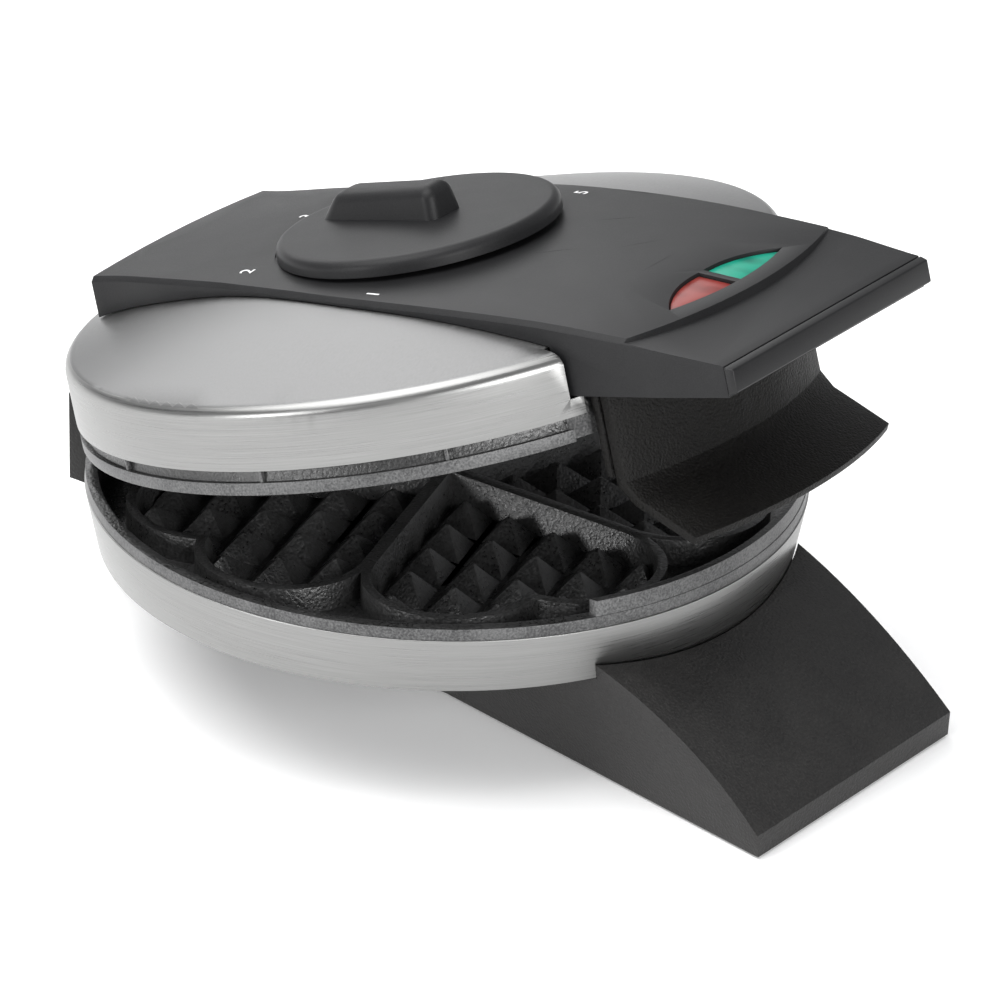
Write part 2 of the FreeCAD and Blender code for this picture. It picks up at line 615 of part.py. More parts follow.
def make_knob():
    back, low, high, radius = size("knob_back"), size("knob_low"), size("knob_high"), size("knob_radius")
    rim = 2.6
    crown = high + 0.9
    edges = [line((0, low), (radius - 0.5, low)), line((radius - 0.5, low), (radius, high - rim)),
             arc((radius, high - rim), (radius - 0.76, high - 0.76), (radius - rim, high)),
             arc((radius - rim, high), (radius / 2, high + 0.7), (0, crown)), line((0, crown), (0, low))]
    disc = revolved(edges)
    disc.translate(Vector(0, back, 0))

    def outline(half, y0, y1, z):
        points = [Vector(-half, y0, z), Vector(half, y0, z), Vector(half, y1, z), Vector(-half, y1, z)]
        return Part.makePolygon(points + [points[0]])

    bar = Part.makeLoft([outline(7.6, -16, 26.5, high - 0.5), outline(5.2, -13.6, 18, high + 9.2)], True, True)
    bar = bar.makeFillet(1.2, [e for e in bar.Edges if e.BoundBox.ZMax > high + 2])
    shaft_way = rod(3.02, (0, back, low - 1), (0, back, high + 3))
    shaped("knob", disc.fuse(bar).removeSplitter().cut(shaft_way), "knob")
    shaft = rod(3.0, (0, back, 86), (0, back, high + 3))
    shaped("thermostat_shaft", shaft, "knob")


make_lower_plate()
make_upper_plate()
make_base_shell()
make_base_pan()
make_stand()
make_hinge_housing()
make_heaters()
make_base_small_parts()
make_lid_shell()
make_bridge()
make_lenses()
make_end_cap()
make_handle_underside()
make_grip()
make_hinge_arm()
make_lid_small_parts()
make_knob()

# ---------------------------------------------------------------- resting places
forward = Vector(0, size("axis_shift"), 0)
hinge = Vector(0, size("hinge_back"), size("hinge_height"))
opened = Rotation(Vector(-1, 0, 0), size("lid_open"))
base_place = Placement(forward, Rotation())
lid_place = Placement(forward, Rotation()).multiply(Placement(hinge, opened)).multiply(Placement(-hinge, Rotation()))
for label, (piece, body) in nodes.items():
    piece.Placement = base_place if body == "base" else lid_place

doc.recompute()
for item in doc.Objects:
    if "Invalid" in item.State or "Error" in item.State:
        raise SystemExit(f"{item.Label} did not recompute: {item.State}")
for label, (piece, body) in nodes.items():
    if piece.Shape.isNull() or not piece.Shape.isValid():
        raise SystemExit(f"{label} has no valid shape")
    piece.Shape.exportStep(f"parts/{label}.step")
    bounds = piece.Shape.BoundBox
    print(f"{label:20s} {body:5s} solids {len(piece.Shape.Solids):2d} volume {piece.Shape.Volume / 1000:8.2f} cm3 "
          f"x {bounds.XMin:7.1f} {bounds.XMax:7.1f} y {bounds.YMin:7.1f} {bounds.YMax:7.1f} "
          f"z {bounds.ZMin:6.1f} {bounds.ZMax:6.1f}")
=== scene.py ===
import json
import logging
import math
from dataclasses import dataclass, field
from enum import Enum
from typing import Callable, ClassVar

import bmesh
import bpy
from mathutils import Matrix, Vector
from mathutils.bvhtree import BVHTree


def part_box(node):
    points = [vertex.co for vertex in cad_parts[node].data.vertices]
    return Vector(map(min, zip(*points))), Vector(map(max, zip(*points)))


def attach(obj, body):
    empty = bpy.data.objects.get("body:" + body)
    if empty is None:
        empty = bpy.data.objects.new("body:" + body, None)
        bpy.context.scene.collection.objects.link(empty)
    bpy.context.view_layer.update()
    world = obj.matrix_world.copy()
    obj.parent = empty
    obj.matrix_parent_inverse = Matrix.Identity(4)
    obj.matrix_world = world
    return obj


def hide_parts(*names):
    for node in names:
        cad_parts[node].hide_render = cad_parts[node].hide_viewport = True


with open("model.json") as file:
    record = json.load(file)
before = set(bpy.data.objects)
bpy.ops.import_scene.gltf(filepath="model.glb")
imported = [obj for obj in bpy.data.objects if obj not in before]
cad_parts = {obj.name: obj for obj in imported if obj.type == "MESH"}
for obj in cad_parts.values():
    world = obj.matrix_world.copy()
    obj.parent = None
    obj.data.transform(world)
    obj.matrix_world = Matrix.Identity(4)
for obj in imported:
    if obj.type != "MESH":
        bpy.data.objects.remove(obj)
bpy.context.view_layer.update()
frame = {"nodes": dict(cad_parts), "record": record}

MM = 0.001
LOG = logging.getLogger("waffle_maker")


class Body(str, Enum):
    """The three rigid bodies a piece can ride on."""

    BASE = "base"
    LID = "lid"
    KNOB = "knob"


class Brushing(Enum):
    """How the steel was brushed: round the turning axis or straight across."""

    ROUND = "round"
    STRAIGHT = "straight"


# ---------------------------------------------------------------- places
def turning_axis() -> Vector:
    """Foot of the round body's axis on the table.

    Returns:
        The point in metres, from the steel band's box.
    """
    low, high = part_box("lower_shell")
    return Vector(((low[0] + high[0]) / 2, (low[1] + high[1]) / 2, 0.0))


def joint_named(name: str) -> dict:
    """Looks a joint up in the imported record.

    Args:
        name: The joint's name.

    Returns:
        The joint's entry.
    """
    return next(j for j in frame["record"]["behaviour"]["joints"] if j["name"] == name)


def lid_matrix() -> Matrix:
    """Turns a place on the closed lid into its place on the lid at rest.

    Returns:
        The rotation about the hinge, as a matrix.
    """
    hinge = joint_named("lid_hinge")
    pivot = Vector(hinge["pos_m"])
    opened = math.radians(-hinge["range_deg"][0])
    turn = Matrix.Rotation(opened, 4, Vector(hinge["axis"]))
    return Matrix.Translation(pivot) @ turn @ Matrix.Translation(-pivot)


AXIS = turning_axis()
TO_BASE = Matrix.Translation(AXIS)
TO_LID = lid_matrix() @ TO_BASE
PLACE = {Body.BASE: TO_BASE, Body.LID: TO_LID, Body.KNOB: TO_LID}


# ---------------------------------------------------------------- nodes and colours
def colour(code: str) -> tuple[float, float, float, float]:
    """Turns an sRGB hex code into a linear colour.

    Args:
        code: Six hex digits, such as "C8C8C6".

    Returns:
        Linear red, green, blue and an alpha of 1.
    """
    parts = [int(code[i:i + 2], 16) / 255 for i in (0, 2, 4)]
    linear = [c / 12.92 if c <= 0.04045 else ((c + 0.055) / 1.055) ** 2.4 for c in parts]
    return (linear[0], linear[1], linear[2], 1.0)


def add_node(tree: bpy.types.NodeTree, kind: str, settings: dict | None = None, **inputs) -> bpy.types.Node:
    """Adds one node with its settings, values and links.

    Args:
        tree: The material's node tree.
        kind: The node's type name.
        settings: Attributes of the node itself.
        **inputs: Socket names (spaces as underscores, or i0, i1 for numbered sockets) with a value or a
            socket to link from.

    Returns:
        The new node.
    """
    node = tree.nodes.new(kind)
    for name, value in (settings or {}).items():
        setattr(node, name, value)
    for name, value in inputs.items():
        numbered = name[0] == "i" and name[1:].isdigit()
        socket = node.inputs[int(name[1:])] if numbered else node.inputs[name.replace("_", " ")]
        if isinstance(value, bpy.types.NodeSocket):
            tree.links.new(value, socket)
        else:
            socket.default_value = value
    return node


def new_material(name: str) -> tuple[bpy.types.Material, bpy.types.NodeTree, bpy.types.Node]:
    """Starts a material that holds only its output and a Principled shader.

    Args:
        name: The material's name.

    Returns:
        The material, its node tree and the shader.
    """
    material = bpy.data.materials.new(name)
    material.use_nodes = True
    tree = material.node_tree
    tree.nodes.clear()
    shader = add_node(tree, "ShaderNodeBsdfPrincipled")
    add_node(tree, "ShaderNodeOutputMaterial", Surface=shader.outputs["BSDF"])
    return material, tree, shader


def ramp(tree: bpy.types.NodeTree, fac: bpy.types.NodeSocket, stops: list[tuple[float, tuple]]) -> bpy.types.Node:
    """Adds a colour ramp with the given stops.

    Args:
        tree: The material's node tree.
        fac: The value that runs along the ramp.
        stops: Position and linear colour of each stop, from low to high.

    Returns:
        The ramp node.
    """
    node = add_node(tree, "ShaderNodeValToRGB", Fac=fac)
    elements = node.color_ramp.elements
    while len(elements) < len(stops):
        elements.new(0.5)
    for element, (position, value) in zip(elements, stops):
        element.position = position
        element.color = value
    return node


# ---------------------------------------------------------------- finishes
@dataclass(frozen=True)
class Finish:
    """A finish that can be made into a Blender material once and shared."""

    name: str
    slot: str
    _made: ClassVar[dict[str, bpy.types.Material]] = {}

    def material(self) -> bpy.types.Material:
        """The finish's material, made on first use."""
        if self.name not in Finish._made:
            Finish._made[self.name] = self.mix()
        return Finish._made[self.name]

    def mix(self) -> bpy.types.Material:
        """Makes the material; each kind of finish has its own way."""
        raise NotImplementedError


@dataclass(frozen=True)
class BrushedStainless(Finish):
    """Stainless sheet, belt-brushed: long fine scratches stretch every highlight across them."""

    brushing: Brushing = Brushing.ROUND
    body: Body = Body.BASE
    tone: str = "959594"
    line_mm: float = 0.24       # drawn coarser than the real 0.05 mm scratches so that they show
    roughness: float = 0.27
    run: float = 120.0          # a scratch is this many times as long as it is wide
    valley: float = 0.8         # how bright the bottom of a scratch is beside its edges

    def mix(self) -> bpy.types.Material:
        """Scratches from noise stretched along the brushing, with a tangent that follows it."""
        material, tree, shader = new_material(self.name)
        coords = add_node(tree, "ShaderNodeTexCoord")
        lines = 1 / (self.line_mm * MM)
        long = lines / self.run
        stretch = (long, long, lines) if self.brushing is Brushing.ROUND else (long, lines, lines)
        turn = PLACE[self.body].to_euler()
        mapped = add_node(tree, "ShaderNodeMapping", {"vector_type": "TEXTURE"},
                          Vector=coords.outputs["Object"], Rotation=turn)
        scaled = add_node(tree, "ShaderNodeMapping", {"vector_type": "POINT"},
                          Vector=mapped.outputs["Vector"], Scale=stretch)
        scratches = add_node(tree, "ShaderNodeTexNoise", Vector=scaled.outputs["Vector"],
                             Scale=1.0, Detail=3.0, Roughness=0.6)
        cloud = add_node(tree, "ShaderNodeTexNoise", Vector=coords.outputs["Object"], Scale=22.0, Detail=2.0)
        base = colour(self.tone)
        dark = tuple(c * self.valley for c in base[:3]) + (1.0,)
        tint = ramp(tree, scratches.outputs["Fac"], [(0.3, dark), (0.7, base)])
        tree.links.new(tint.outputs["Color"], shader.inputs["Base Color"])
        rough = add_node(tree, "ShaderNodeMapRange", Value=scratches.outputs["Fac"], From_Min=0.3, From_Max=0.7,
                         To_Min=self.roughness - 0.05, To_Max=self.roughness + 0.08)
        haze = add_node(tree, "ShaderNodeMath", {"operation": "MULTIPLY_ADD"},
                        i0=cloud.outputs["Fac"], i1=0.06, i2=rough.outputs["Result"])
        tree.links.new(haze.outputs["Value"], shader.inputs["Roughness"])
        bump = add_node(tree, "ShaderNodeBump", Height=scratches.outputs["Fac"], Strength=0.12, Distance=0.00004)
        tree.links.new(bump.outputs["Normal"], shader.inputs["Normal"])
        geometry = add_node(tree, "ShaderNodeNewGeometry")
        along = Vector((0, 0, 1)) if self.brushing is Brushing.ROUND else Vector((0, 1, 0))
        along = PLACE[self.body].to_3x3() @ along
        tangent = add_node(tree, "ShaderNodeVectorMath", {"operation": "CROSS_PRODUCT"},
                           i0=tuple(along), i1=geometry.outputs["Normal"])
        tree.links.new(tangent.outputs["Vector"], shader.inputs["Tangent"])
        shader.inputs["Metallic"].default_value = 1.0
        shader.inputs["Anisotropic"].default_value = 0.55
        return material


@dataclass(frozen=True)
class Moulded(Finish):
    """Moulded or cast surface: one tone, fine speckle, and a grain raised by noise."""

    tone: str = "2A2A2C"
    light: str = "333335"
    grain_mm: float = 0.5
    relief_mm: float = 0.06
    strength: float = 0.4
    roughness: float = 0.45
    spread: float = 0.08
    metallic: float = 0.0
    coat: float = 0.0
    ior: float = 1.5
    specular: float = 0.5

    def mix(self) -> bpy.types.Material:
        """Two octaves of grain drive the relief; the finer one also varies tone and gloss."""
        material, tree, shader = new_material(self.name)
        coords = add_node(tree, "ShaderNodeTexCoord")
        grain = add_node(tree, "ShaderNodeTexNoise", Vector=coords.outputs["Object"],
                         Scale=1 / (self.grain_mm * MM), Detail=3.0, Roughness=0.55)
        pits = add_node(tree, "ShaderNodeTexVoronoi", {"feature": "SMOOTH_F1"}, Vector=coords.outputs["Object"],
                        Scale=0.8 / (self.grain_mm * MM), Smoothness=0.6)
        cloud = add_node(tree, "ShaderNodeTexNoise", Vector=coords.outputs["Object"], Scale=60.0, Detail=3.0)
        mixed = add_node(tree, "ShaderNodeMath", {"operation": "MULTIPLY_ADD"},
                         i0=cloud.outputs["Fac"], i1=0.5, i2=grain.outputs["Fac"])
        tint = ramp(tree, mixed.outputs["Value"], [(0.55, colour(self.tone)), (0.95, colour(self.light))])
        tree.links.new(tint.outputs["Color"], shader.inputs["Base Color"])
        rough = add_node(tree, "ShaderNodeMapRange", Value=mixed.outputs["Value"], From_Min=0.5, From_Max=1.0,
                         To_Min=self.roughness - self.spread / 2, To_Max=self.roughness + self.spread / 2)
        tree.links.new(rough.outputs["Result"], shader.inputs["Roughness"])
        height = add_node(tree, "ShaderNodeMath", {"operation": "MULTIPLY_ADD"},
                          i0=pits.outputs["Distance"], i1=0.6, i2=grain.outputs["Fac"])
        bump = add_node(tree, "ShaderNodeBump", Height=height.outputs["Value"],
                        Strength=self.strength, Distance=self.relief_mm * MM)
        tree.links.new(bump.outputs["Normal"], shader.inputs["Normal"])
        shader.inputs["Metallic"].default_value = self.metallic
        shader.inputs["Coat Weight"].default_value = self.coat
        shader.inputs["Coat Roughness"].default_value = 0.15
        shader.inputs["IOR"].default_value = self.ior
        shader.inputs["Specular IOR Level"].default_value = self.specular
        return material


@dataclass(frozen=True)
class LampPlastic(Finish):
    """Tinted acrylic over a pale reflector: satin, slightly lit, with fine moulded ribs inside."""

    tone: str = "D0312A"
    deep: str = "7A120E"
    glow: float = 0.25
    rib_mm: float = 1.2

    def mix(self) -> bpy.types.Material:
        """The ribs run under the surface and lighten the tint."""
        material, tree, shader = new_material(self.name)
        coords = add_node(tree, "ShaderNodeTexCoord")
        ribs = add_node(tree, "ShaderNodeTexWave", {"bands_direction": "X"}, Vector=coords.outputs["Object"],
                        Scale=1 / (self.rib_mm * MM) / 20, Distortion=0.4)
        cloud = add_node(tree, "ShaderNodeTexNoise", Vector=coords.outputs["Object"], Scale=120.0, Detail=2.0)
        mixed = add_node(tree, "ShaderNodeMath", {"operation": "MULTIPLY_ADD"},
                         i0=ribs.outputs["Fac"], i1=0.25, i2=cloud.outputs["Fac"])
        tint = ramp(tree, mixed.outputs["Value"], [(0.3, colour(self.deep)), (0.65, colour(self.tone))])
        tree.links.new(tint.outputs["Color"], shader.inputs["Base Color"])
        tree.links.new(tint.outputs["Color"], shader.inputs["Emission Color"])
        rough = add_node(tree, "ShaderNodeMapRange", Value=cloud.outputs["Fac"], To_Min=0.28, To_Max=0.4)
        tree.links.new(rough.outputs["Result"], shader.inputs["Roughness"])
        bump = add_node(tree, "ShaderNodeBump", Height=ribs.outputs["Fac"], Strength=0.15, Distance=0.0001)
        tree.links.new(bump.outputs["Normal"], shader.inputs["Normal"])
        shader.inputs["Emission Strength"].default_value = self.glow
        shader.inputs["IOR"].default_value = 1.49
        shader.inputs["Specular IOR Level"].default_value = 0.25
        return material


# Belt-brushed stainless steel: soft grey with highlights pulled out across the lines.
BASE_STEEL = BrushedStainless("brushed_stainless_band", "brushed_steel")
LID_STEEL = BrushedStainless("brushed_stainless_lid_band", "brushed_steel", Brushing.ROUND, Body.LID)
# Dome: the same steel brushed straight across, with a darker tone as painted shade against the light on its top.
DOME_STEEL = BrushedStainless("brushed_stainless_dome", "brushed_steel", Brushing.STRAIGHT, Body.LID,
                              tone="858585", roughness=0.33)
# PTFE coating on die-cast aluminium: near-black, half glossy, with a sparkle from fine particles.
NONSTICK = Moulded("ptfe_coated_casting", "nonstick_casting", tone="171717", light="343434", grain_mm=0.8,
                   relief_mm=0.2, strength=0.9, roughness=0.36, spread=0.24, specular=0.85)
# The same coating where the casting was machined: the scoured metal greys it.
SCOURED_RIM = Moulded("scoured_coated_rim", "nonstick_casting", tone="363637", light="686868", grain_mm=0.6,
                      relief_mm=0.12, strength=0.8, roughness=0.42, spread=0.2, metallic=0.35)
# Glass-filled nylon, spark-eroded mould: black with a leather-like grain.
GRAINED = Moulded("grained_black_nylon", "black_plastic", tone="0C0B0B", light="151413", grain_mm=0.8,
                  relief_mm=0.14, strength=0.8, roughness=0.45, spread=0.16, specular=0.22)
# The same nylon twice more: deeper black on the grip, and a little greyer on the stand as painted highlight.
GRIP_NYLON = Moulded("grained_grip_nylon", "black_plastic", tone="090808", light="12110F", grain_mm=0.65,
                     relief_mm=0.24, strength=1.0, roughness=0.48, spread=0.16, specular=0.16)
# Stand: the same nylon with a lighter tone, a painted highlight where its top faces the overhead light.
LIT_STAND_NYLON = Moulded("grained_stand_nylon_painted_highlight", "black_plastic", tone="161515", light="262524", grain_mm=0.7,
                      relief_mm=0.22, strength=1.0, roughness=0.5, spread=0.16, specular=0.42)
# Smooth polyester moulding, dark grey satin: soft broad reflections.
SATIN = Moulded("satin_grey_polyester", "grey_plastic", tone="1B1B1C", light="242425", grain_mm=0.35,
                relief_mm=0.04, strength=0.45, roughness=0.44, spread=0.1, specular=0.2)
# Front strip of the handle: the same moulding, a shade darker and a little glossier.
SATIN_CAP = Moulded("satin_grey_cap", "black_plastic", tone="161617", light="1E1E1F", grain_mm=0.3,
                    relief_mm=0.03, strength=0.3, roughness=0.42, spread=0.08, specular=0.3)
# Moulded rubber: soft, dull black.
RUBBER = Moulded("moulded_rubber", "rubber", tone="141414", light="1E1E1E", grain_mm=0.4, relief_mm=0.05,
                 strength=0.4, roughness=0.75)
# Zinc-plated steel: pale, even, slightly cloudy metal.
ZINC = Moulded("zinc_plated_steel", "plain_steel", tone="A9ABAD", light="C4C6C8", grain_mm=0.5, relief_mm=0.02,
               strength=0.2, roughness=0.32, metallic=1.0)
# Incoloy sheath after firing: brown-grey oxide over metal.
SHEATH = Moulded("fired_heater_sheath", "heater_tube", tone="5A514A", light="7A6E62", grain_mm=0.6,
                 relief_mm=0.03, strength=0.3, roughness=0.5, metallic=0.8)
# Epoxy-coated die casting for the hinge arm: black, fine orange-peel.
COATED_ARM = Moulded("epoxy_coated_casting", "cast_arm", tone="121213", light="1A1A1B", grain_mm=0.7,
                     relief_mm=0.05, strength=0.35, roughness=0.4)
# Steatite and filled resin for the parts near the mains: chalky cream.
STEATITE = Moulded("steatite", "pale_plastic", tone="C9C3B2", light="DAD5C6", grain_mm=0.4, relief_mm=0.03,
                   strength=0.3, roughness=0.6)
NEON_GLASS = Moulded("neon_lamp_glass", "lamp_glass", tone="C98B6B", light="E0B090", roughness=0.12, grain_mm=1.0,
                     relief_mm=0.01, coat=0.5)
# Pad-printed white ink: flat and slightly chalky.
INK = Moulded("white_printing_ink", "pale_plastic", tone="DCDCDC", light="EAEAEA", grain_mm=0.2, relief_mm=0.01,
              strength=0.2, roughness=0.5)
RED_LAMP = LampPlastic("red_acrylic", "red_lens", tone="7C2F2A", deep="5E1B18", glow=0.1)
GREEN_LAMP = LampPlastic("green_acrylic", "green_lens", tone="128A72", deep="0A6151", glow=0.1)

CAD_FINISH = {
    "rubber_feet": RUBBER, "cord_gland": RUBBER, "hinge_pins": ZINC, "lower_reflector": ZINC,
    "lid_reflector": ZINC, "lower_plate_screws": ZINC, "stand_screws": ZINC, "housing_screws": ZINC,
    "arm_screws": ZINC, "upper_plate_screws": ZINC, "handle_screws": ZINC, "thermostat_shaft": ZINC,
    "thermal_fuse": ZINC, "lower_heater": SHEATH, "upper_heater": SHEATH, "terminal_block": STEATITE,
    "thermostat": STEATITE, "lamp_holder": STEATITE, "indicator_lamps": NEON_GLASS, "base_pan": GRAINED,
}


# ---------------------------------------------------------------- modelling helpers
def deselect() -> None:
    """Leaves edit mode and deselects every object."""
    if bpy.context.object and bpy.context.object.mode != "OBJECT":
        bpy.ops.object.mode_set(mode="OBJECT")
    bpy.ops.object.select_all(action="DESELECT")


def focus(piece: bpy.types.Object) -> None:
    """Makes one object the only selected and the active one.

    Args:
        piece: The object.
    """
    deselect()
    piece.select_set(True)
    bpy.context.view_layer.objects.active = piece


def edit(piece: bpy.types.Object, mode: str = "VERT") -> None:
    """Opens one object in edit mode with nothing selected.

    Args:
        piece: The object.
        mode: What can be selected: VERT, EDGE or FACE.
    """
    focus(piece)
    bpy.ops.object.mode_set(mode="EDIT")
    bpy.ops.mesh.select_mode(type=mode)
    bpy.ops.mesh.select_all(action="DESELECT")


def pick_faces(piece: bpy.types.Object, test: Callable[[bmesh.types.BMFace], bool]) -> None:
    """Selects the faces that pass a test, in edit mode.

    Args:
        piece: The object being edited.
        test: Says whether a face is wanted.
    """
    bpy.ops.mesh.select_all(action="DESELECT")
    bpy.ops.mesh.select_mode(type="FACE")
    mesh = bmesh.from_edit_mesh(piece.data)
    chosen = [f for f in mesh.faces if test(f)]
    for face in chosen:
        face.select_set(True)
    mesh.select_flush_mode()
    bmesh.update_edit_mesh(piece.data)


def pick_edges(piece: bpy.types.Object, test: Callable[[bmesh.types.BMEdge], bool]) -> None:
    """Selects the edges that pass a test, in edit mode.

    Args:
        piece: The object being edited.
        test: Says whether an edge is wanted.
    """
    bpy.ops.mesh.select_all(action="DESELECT")
    bpy.ops.mesh.select_mode(type="EDGE")
    mesh = bmesh.from_edit_mesh(piece.data)
    chosen = [e for e in mesh.edges if test(e)]
    for edge in chosen:
        edge.select_set(True)
    mesh.select_flush_mode()
    bmesh.update_edit_mesh(piece.data)


def apply_bevel(piece: bpy.types.Object, width_mm: float, segments: int, angle: float) -> None:
    """Rounds the edges sharper than an angle.

    Args:
        piece: The object to round.
        width_mm: Width of the rounding.
        segments: Facets across it.
        angle: Smallest turn in degrees that counts as an edge.
    """
    focus(piece)
    bevel = piece.modifiers.new("rounding", "BEVEL")
    bevel.width = width_mm * MM
    bevel.segments = segments
    bevel.limit_method = "ANGLE"
    bevel.angle_limit = math.radians(angle)
    bevel.miter_outer = "MITER_ARC"
    bevel.harden_normals = False
    bpy.ops.object.modifier_apply(modifier=bevel.name)


def smooth(piece: bpy.types.Object, angle: float = 32.0) -> None:
    """Shades an object smooth up to an angle in degrees."""
    focus(piece)
    bpy.ops.object.shade_smooth_by_angle(angle=math.radians(angle))


def finish_piece(piece: bpy.types.Object, name: str, body: Body, finish: Finish) -> None:
    """Names a finished piece, dresses it and lets it ride on its body.

    Args:
        piece: The mesh object, with its place in its mesh.
        name: The piece's name.
        body: The body it moves with.
        finish: Its main finish.
    """
    deselect()
    piece.name = name
    piece.data.name = name
    if not piece.data.materials:
        piece.data.materials.append(finish.material())
    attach(piece, body.value)
    LOG.info("%s: %d faces on %s", name, len(piece.data.polygons), body.value)


def settle(piece: bpy.types.Object, matrix: Matrix) -> None:
    """Moves a mesh to its place and leaves its object at the origin."""
    piece.data.transform(matrix @ piece.matrix_world)
    piece.matrix_world = Matrix.Identity(4)


def join(pieces: list[bpy.types.Object]) -> bpy.types.Object:
    """Joins objects into the first one.

    Args:
        pieces: The objects, each with its place in its mesh.

    Returns:
        The joined object.
    """
    focus(pieces[0])
    for piece in pieces[1:]:
        piece.select_set(True)
    bpy.ops.object.join()
    return bpy.context.object


@dataclass
class SoftenedPart:
    """A CAD node shown with rounded edges: its faces merged, its sharp edges bevelled, its finish added."""

    node: str
    body: Body
    finish: Finish
    round_mm: float = 0.5
    segments: int = 3
    angle: float = 28.0
    smooth_angle: float = 32.0
    second: Finish | None = None
    belongs_to_second: Callable[[Vector, Vector], bool] | None = None

    def build(self) -> None:
        """Makes the piece from a copy of the node's mesh; it replaces the node."""
        source = frame["nodes"][self.node]
        piece = bpy.data.objects.new(self.node + "_shown", source.data.copy())
        bpy.context.scene.collection.objects.link(piece)
        piece.data.materials.clear()
        self.clean(piece)
        if self.round_mm > 0:
            apply_bevel(piece, self.round_mm, self.segments, self.angle)
        piece.data.materials.append(self.finish.material())
        if self.second:
            self.mark_second(piece)
        smooth(piece, self.smooth_angle)
        finish_piece(piece, self.node + "_shown", self.body, self.finish)
        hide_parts(self.node)

    def clean(self, piece: bpy.types.Object) -> None:
        """Merges the loose triangles and dissolves the flat ones.

        Args:
            piece: The copy of the node.
        """
        edit(piece)
        bpy.ops.mesh.select_all(action="SELECT")
        bpy.ops.mesh.remove_doubles(threshold=0.01 * MM)
        bpy.ops.mesh.dissolve_limited(angle_limit=math.radians(1.0))
        deselect()

    def mark_second(self, piece: bpy.types.Object) -> None:
        """Gives the second finish to the faces that pass the test, in the closed body's own place.

        Args:
            piece: The copy of the node.
        """
        piece.data.materials.append(self.second.material())
        back = PLACE[self.body].inverted()
        turn = back.to_3x3()
        for face in piece.data.polygons:
            if self.belongs_to_second(back @ face.center / MM, turn @ face.normal):
                face.material_index = 1


# ---------------------------------------------------------------- sub-assemblies
RIM_LAND_RADIUS = 95.9      # mm, where the machined land of a plate's rim begins
RIM_WALL_RADIUS = 97.0      # mm, outside which the rim's walls are machined too
RIM_LOW, RIM_HIGH = 53.4, 61.7
SHOULDER_HIGH = 81.0        # mm, top of the steel cover's rolled shoulder


def on_rim(point: Vector, normal: Vector) -> bool:
    """Tells whether a plate's face belongs to the machined rim.

    Args:
        point: The face's middle in mm, with the lid closed.
        normal: The face's normal.

    Returns:
        True on the rim.
    """
    radius = math.hypot(point.x, point.y)
    machined = abs(normal.z) > 0.9 or radius > RIM_WALL_RADIUS
    return radius > RIM_LAND_RADIUS and machined and RIM_LOW < point.z < RIM_HIGH


def on_dome(point: Vector, normal: Vector) -> bool:
    """Whether a lid shell's face belongs to the dome above the rolled shoulder."""
    return point.z > SHOULDER_HIGH and normal.z > 0.8


@dataclass
class Base:
    """Steel band, stand, lower plate and hinge housing."""

    band_low_mm: float = 96.7
    band_high_mm: float = 100.0
    flange_mm: float = 91.0
    wall_mm: float = 0.8
    band_sides: int = 288
    parts: list[SoftenedPart] = field(default_factory=lambda: [
        SoftenedPart("lower_plate", Body.BASE, NONSTICK, 0.4, 2, 24.0, 30.0, SCOURED_RIM, on_rim),
        SoftenedPart("base_stand", Body.BASE, LIT_STAND_NYLON, 0.8, 3, 26.0),
        SoftenedPart("hinge_housing", Body.BASE, GRAINED, 0.5, 2),
    ])

    def build(self) -> None:
        """Builds every part of the base."""
        for part in self.parts:
            part.build()
        self.build_band()

    def build_band(self) -> None:
        """Makes the steel band: a rolled tapered ring with a turned-in lower flange."""
        low, high = (v[2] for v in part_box("lower_shell"))
        deselect()
        bpy.ops.mesh.primitive_cylinder_add(vertices=self.band_sides, radius=self.band_low_mm * MM, depth=high - low,
                                            end_fill_type="NOTHING", location=(0, 0, (low + high) / 2))
        band = bpy.context.object
        settle(band, Matrix.Identity(4))
        edit(band)
        pick_edges(band, lambda e: all(v.co.z > high - 0.01 * MM for v in e.verts))
        grow = self.band_high_mm / self.band_low_mm
        bpy.ops.transform.resize(value=(grow, grow, 1), center_override=(0, 0, high))
        pick_edges(band, lambda e: all(v.co.z < low + 0.01 * MM for v in e.verts))
        bpy.ops.mesh.extrude_edges_move()
        shrink = self.flange_mm / self.band_low_mm
        bpy.ops.transform.resize(value=(shrink, shrink, 1), center_override=(0, 0, low))
        deselect()
        wall = band.modifiers.new("wall", "SOLIDIFY")
        wall.thickness = self.wall_mm * MM
        wall.offset = -1
        focus(band)
        bpy.ops.object.modifier_apply(modifier=wall.name)
        apply_bevel(band, 0.25, 3, 40.0)
        settle(band, TO_BASE)
        smooth(band)
        finish_piece(band, "steel_band", Body.BASE, BASE_STEEL)
        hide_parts("lower_shell")


